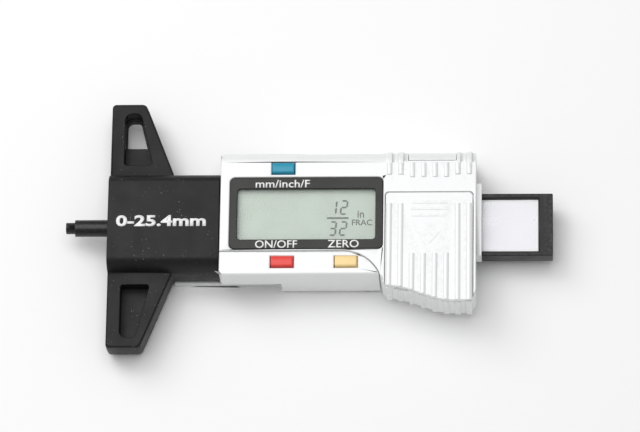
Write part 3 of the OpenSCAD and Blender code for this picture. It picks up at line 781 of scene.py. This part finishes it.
class GAUGE_OT_probe(bpy.types.Operator):
    """Probe rod and its narrower tip"""
    bl_idname = "gauge.probe"
    bl_label = "Probe"

    def execute(self, context):
        skin("probe", "probe_rod", "beam", probe_black(), sizes().probe_edge)
        return {"FINISHED"}


class GAUGE_OT_fasteners(bpy.types.Operator):
    """Screws that show in the back shell"""
    bl_idname = "gauge.fasteners"
    bl_label = "Fasteners"

    def execute(self, context):
        for node in ("back_screws", "foot_screws"):
            skin(node, node + "_steel", "housing", plain_steel(), sizes().screw_edge, segments=2)
        return {"FINISHED"}


class GAUGE_OT_inside(bpy.types.Operator):
    """Finishes of the parts inside: boards, chip, key pads, contacts, zebra strips, cell, spring, screws,
    scale and probe pin
    """
    bl_idname = "gauge.inside"
    bl_label = "Inner parts"

    def execute(self, context):
        for node, (name, base, rough, metal) in INNER_FINISHES.items():
            mesh = NODES[node].data
            mesh.materials.clear()
            mesh.materials.append(finish(name, base, rough, metal=metal, bump=0.1, wear=0.3,
                                         worn=[min(1.0, c + 0.2) for c in base]))
        return {"FINISHED"}


class GAUGE_OT_stage(bpy.types.Operator):
    """Pale floor, soft light and the camera"""
    bl_idname = "gauge.stage"
    bl_label = "Stage"

    def execute(self, context):
        scene = context.scene
        stage = scene.gauge_stage
        self.floor(stage, CAD_BOX[0][2])
        self.lights(scene, stage)
        self.camera(scene, stage)
        return {"FINISHED"}

    def floor_finish(self, base):
        m = bpy.data.materials.new("Pale floor")
        m.use_nodes = True
        shader = m.node_tree.nodes["Principled BSDF"]
        shader.inputs["Base Color"].default_value = (*base, 1.0)
        shader.inputs["Roughness"].default_value = 0.7
        shader.inputs["Specular IOR Level"].default_value = 0.2
        return m

    def floor(self, stage, z):
        bm = bmesh.new()
        bmesh.ops.create_grid(bm, x_segments=1, y_segments=1, size=3.0)
        for v in bm.verts:
            v.co.z = z
        floor = object_from(bm, "floor", self.floor_finish(stage.floor[:]))

    def lights(self, scene, stage):
        world = bpy.data.worlds.new("White room")
        world.use_nodes = True
        world.node_tree.nodes["Background"].inputs["Color"].default_value = (1.0, 1.0, 1.0, 1.0)
        world.node_tree.nodes["Background"].inputs["Strength"].default_value = stage.surround
        scene.world = world
        # name, place from the point the camera looks at, size and power
        for name, place, size, power in (("key_light", (-0.36, 0.3, 0.5), 0.45, stage.key_power),
                                         ("top_light", (-0.1, 0.05, 0.9), 0.9, stage.top_power)):
            lamp = bpy.data.lights.new(name, "AREA")
            lamp.shape = "DISK"
            lamp.size = size
            lamp.energy = power
            lit = bpy.data.objects.new(name, lamp)
            lit.location = AIM + Vector(place)
            lit.rotation_euler = (-Vector(place)).to_track_quat("-Z", "Y").to_euler()
            scene.collection.objects.link(lit)

    def camera(self, scene, stage):
        out = Vector((math.sin(stage.turn) * math.cos(stage.height),
                      -math.cos(stage.turn) * math.cos(stage.height), math.sin(stage.height)))
        right = (-out).cross(Vector((0, 0, 1))).normalized()
        up = right.cross(-out).normalized()
        c, s = math.cos(stage.roll), math.sin(stage.roll)
        turned_right = right * c + up * s
        turned_up = -right * s + up * c
        data = bpy.data.cameras.new("camera")
        data.lens = stage.lens
        data.sensor_width = 36.0
        data.clip_start = 0.05
        data.clip_end = 20.0
        camera = bpy.data.objects.new("camera", data)
        matrix = camera.matrix_world.copy()
        for row in range(3):
            matrix[row][0] = turned_right[row]
            matrix[row][1] = turned_up[row]
            matrix[row][2] = out[row]
            matrix[row][3] = (AIM + out * stage.distance)[row]
        camera.matrix_world = matrix
        scene.collection.objects.link(camera)
        scene.camera = camera
        scene.view_settings.view_transform = "Standard"


class GAUGE_PT_panel(bpy.types.Panel):
    """Lists the pieces of the gauge, and its sizes, colours and stage"""
    bl_idname = "GAUGE_PT_panel"
    bl_label = "Tread Depth Gauge"
    bl_space_type = "VIEW_3D"
    bl_region_type = "UI"
    bl_category = "Gauge"

    def draw(self, context):
        for operator in OPERATORS:
            self.layout.operator(operator.bl_idname)
        for settings in (context.scene.gauge_sizes, context.scene.gauge_colours, context.scene.gauge_stage):
            box = self.layout.box()
            for key in settings.__annotations__:
                box.prop(settings, key)


OPERATORS = (GAUGE_OT_foot, GAUGE_OT_range_mark, GAUGE_OT_housing, GAUGE_OT_display, GAUGE_OT_legends,
             GAUGE_OT_keys, GAUGE_OT_domes, GAUGE_OT_door, GAUGE_OT_port_cover, GAUGE_OT_beam, GAUGE_OT_probe,
             GAUGE_OT_fasteners, GAUGE_OT_inside, GAUGE_OT_stage)
CLASSES = (GaugeSizes, GaugeColours, GaugeStage, *OPERATORS, GAUGE_PT_panel)


def register():
    for cls in CLASSES:
        bpy.utils.register_class(cls)
    bpy.types.Scene.gauge_sizes = PointerProperty(type=GaugeSizes)
    bpy.types.Scene.gauge_colours = PointerProperty(type=GaugeColours)
    bpy.types.Scene.gauge_stage = PointerProperty(type=GaugeStage)


def unregister():
    del bpy.types.Scene.gauge_sizes
    del bpy.types.Scene.gauge_colours
    del bpy.types.Scene.gauge_stage
    for cls in reversed(CLASSES):
        bpy.utils.unregister_class(cls)


def main():
    register()
    for operator in OPERATORS:
        group, name = operator.bl_idname.split(".")
        getattr(getattr(bpy.ops, group), name)()


if __name__ == "__main__":
    main()
